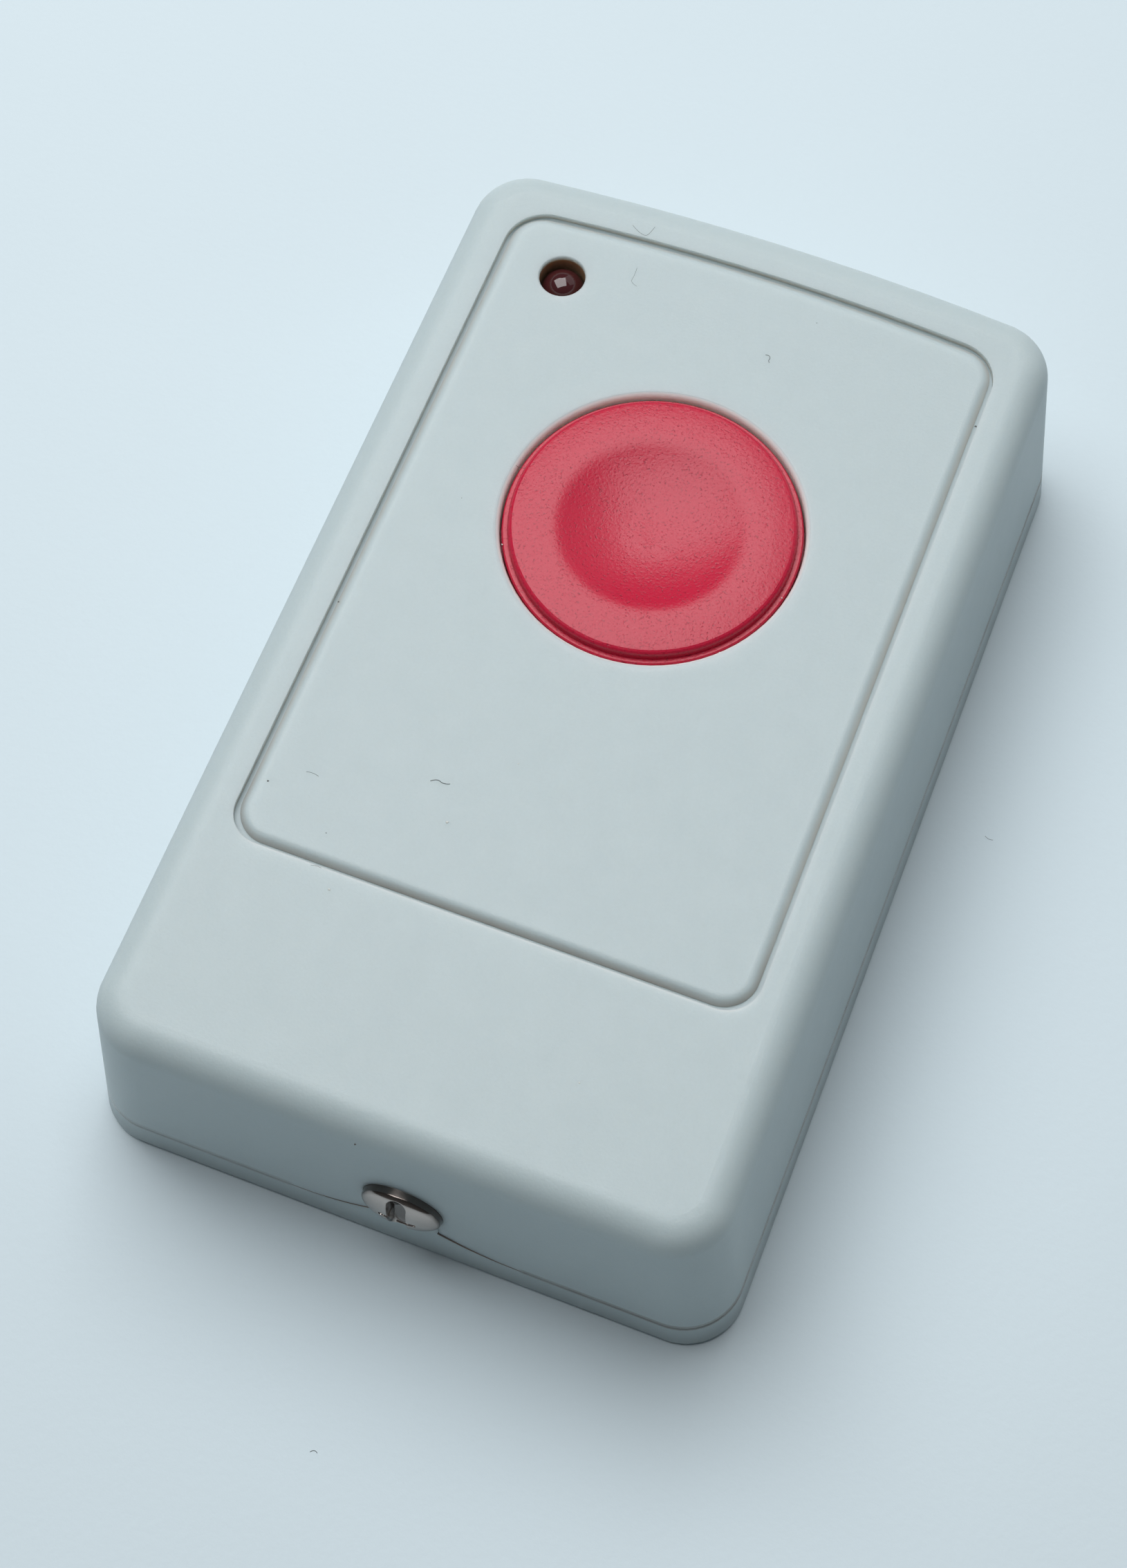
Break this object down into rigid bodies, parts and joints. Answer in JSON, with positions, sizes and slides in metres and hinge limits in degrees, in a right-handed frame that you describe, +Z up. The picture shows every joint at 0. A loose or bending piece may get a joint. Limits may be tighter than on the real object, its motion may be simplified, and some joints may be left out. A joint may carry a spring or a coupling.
{
  "type": "wireless panic button",
  "caption": "A small pale two-shell radio transmitter with one round red push cap, a red lamp and a domed case screw, with its switch, board and cell inside",
  "frame": {"origin": "middle of the underside, on the surface it rests on", "axes": "+X to the right seen from the case screw's end, +Y along the case from the screw toward the lamp, +Z up out of the red button"},
  "size_m": [0.045, 0.073, 0.018],
  "materials": {
    "case_plastic": "pale blue-grey moulded shell, fine satin",
    "cap_red": "red moulded cap, satin with fine speckle",
    "screw_nickel": "nickel-plated steel, smooth and bright",
    "brass": "turned brass",
    "lamp_red": "clear dark red moulded lamp",
    "board_green": "green solder resist over glass laminate",
    "switch_black": "black moulded switch plastic",
    "steel": "tinned and plated steel",
    "cell_sleeve": "dark printed-free shrink sleeve over a steel can",
    "chip_black": "black moulded epoxy",
    "can_sleeve": "dark blue shrink sleeve",
    "ceramic_tan": "tan ceramic with tinned ends",
    "copper": "tinned copper wire"
  },
  "bodies": {
    "case": {"upper_shell": "case_plastic", "lower_shell": "case_plastic", "case_screw": "screw_nickel", "screw_insert": "brass", "circuit_board": "board_green", "board_screws": "steel", "switch_housing": "switch_black", "switch_cover": "steel", "switch_dome": "steel", "switch_terminals": "steel", "led_lamp": "lamp_red", "led_leads": "steel", "battery": "cell_sleeve", "positive_contact": "steel", "negative_plate": "steel", "negative_spring": "steel", "resonator_can": "steel", "encoder_chip": "chip_black", "chip_legs": "steel", "transistor": "chip_black", "transistor_legs": "steel", "capacitor_can": "can_sleeve", "capacitor_legs": "steel", "ceramic_capacitors": "ceramic_tan", "resistors": "chip_black", "antenna_loop": "copper"},
    "button": {"button_cap": "cap_red"},
    "plunger": {"switch_plunger": "switch_black"}
  },
  "joints": [
    {"name": "button_press", "type": "slide", "parent": "case", "child": "button", "axis": [0, 0, -1], "range_m": [0, 0.0005], "stiffness_N_per_m": 900},
    {"name": "plunger_press", "type": "slide", "parent": "case", "child": "plunger", "axis": [0, 0, -1], "range_m": [0, 0.0005], "deforming": ["switch_dome"]}
  ],
  "couplings": [
    {"joint": "plunger_press", "follows": "button_press", "ratio": 1}
  ]
}
